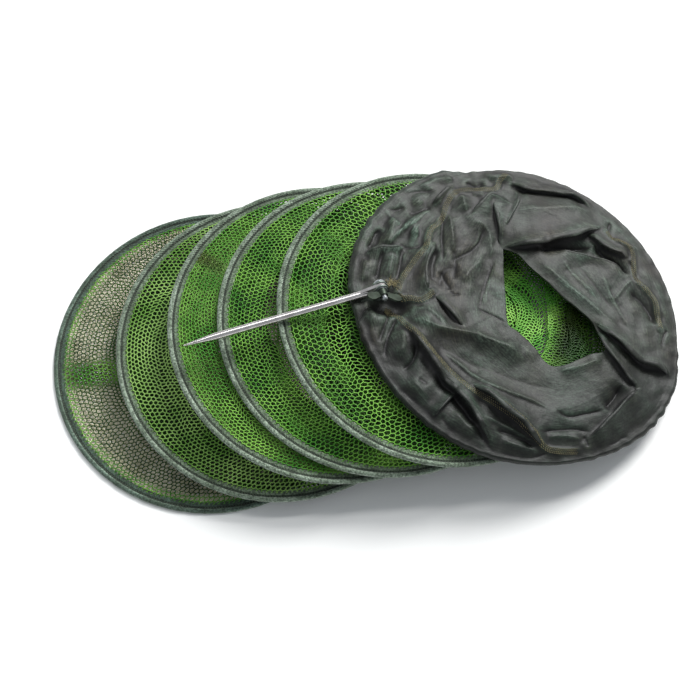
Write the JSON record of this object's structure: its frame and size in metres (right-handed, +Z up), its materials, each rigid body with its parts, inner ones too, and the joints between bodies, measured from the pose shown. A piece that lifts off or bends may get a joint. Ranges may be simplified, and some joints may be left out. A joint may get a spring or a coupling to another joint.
{
  "type": "folding fishing keepnet",
  "caption": "Collapsed folding keepnet: fanned wire hoops in woven tape carry a mesh tube, a cloth collar folded into the mouth and a hinged steel ground spike on a bracket with a wing nut.",
  "frame": {"origin": "on the ground, under the middle of the lying net", "axes": "+Z up; +X from the base hoop along the fanned hoops to the mouth; +Y across the net, away from the bracket's nut"},
  "size_m": [0.6888, 0.3957, 0.1005],
  "materials": {
    "wire": "drawn wire",
    "tape": "woven tape, grey green",
    "net": "knotless twisted netting, grass green",
    "collar": "plain woven nylon cloth, dark grey green",
    "bracket": "phosphated sheet steel, grey green",
    "fastener": "bright zinc plate",
    "spike": "polished steel"
  },
  "bodies": {
    "base": {"base_hoop": "wire", "tape_1": "tape", "base_net": "net", "net_panel_1": "net"},
    "second": {"hoop_2": "wire", "tape_2": "tape", "net_panel_2": "net"},
    "third": {"hoop_3": "wire", "tape_3": "tape", "net_panel_3": "net"},
    "fourth": {"hoop_4": "wire", "tape_4": "tape", "net_panel_4": "net"},
    "fifth": {"hoop_5": "wire", "tape_5": "tape", "net_panel_5": "net"},
    "mouth": {"mouth_hoop": "wire", "collar_casing": "collar", "collar_cloth": "collar", "bracket": "bracket", "pivot_bolt": "fastener", "washers": "fastener"},
    "nut": {"wing_nut": "fastener"},
    "ground_spike": {"spike": "spike"}
  },
  "joints": [
    {"name": "draw_second", "type": "slide", "parent": "base", "child": "second", "axis": [-0.2986, -0.029, 0.9539], "range_m": [0, 0.2411], "deforming": ["net_panel_1"]},
    {"name": "draw_third", "type": "slide", "parent": "second", "child": "third", "axis": [-0.2442, -0.0547, 0.9682], "range_m": [0, 0.2376], "deforming": ["net_panel_2"]},
    {"name": "draw_fourth", "type": "slide", "parent": "third", "child": "fourth", "axis": [-0.2245, -0.0254, 0.9741], "range_m": [0, 0.2361], "deforming": ["net_panel_3"]},
    {"name": "draw_fifth", "type": "slide", "parent": "fourth", "child": "fifth", "axis": [-0.264, -0.0335, 0.9639], "range_m": [0, 0.2386], "deforming": ["net_panel_4"]},
    {"name": "draw_mouth", "type": "slide", "parent": "fifth", "child": "mouth", "axis": [-0.3608, -0.0203, 0.9324], "range_m": [0, 0.2467], "deforming": ["net_panel_5"]},
    {"name": "spike_swing", "type": "hinge", "parent": "mouth", "child": "ground_spike", "pos_m": [0.01342, 0.0249, 0.08599], "axis": [-0.2826, 0.8962, -0.342], "range_deg": [0, 165]},
    {"name": "wing_nut_turn", "type": "hinge", "parent": "mouth", "child": "nut", "pos_m": [0.01342, 0.0249, 0.08599], "axis": [0.2826, -0.8962, 0.342], "range_deg": [0, 180]}
  ]
}
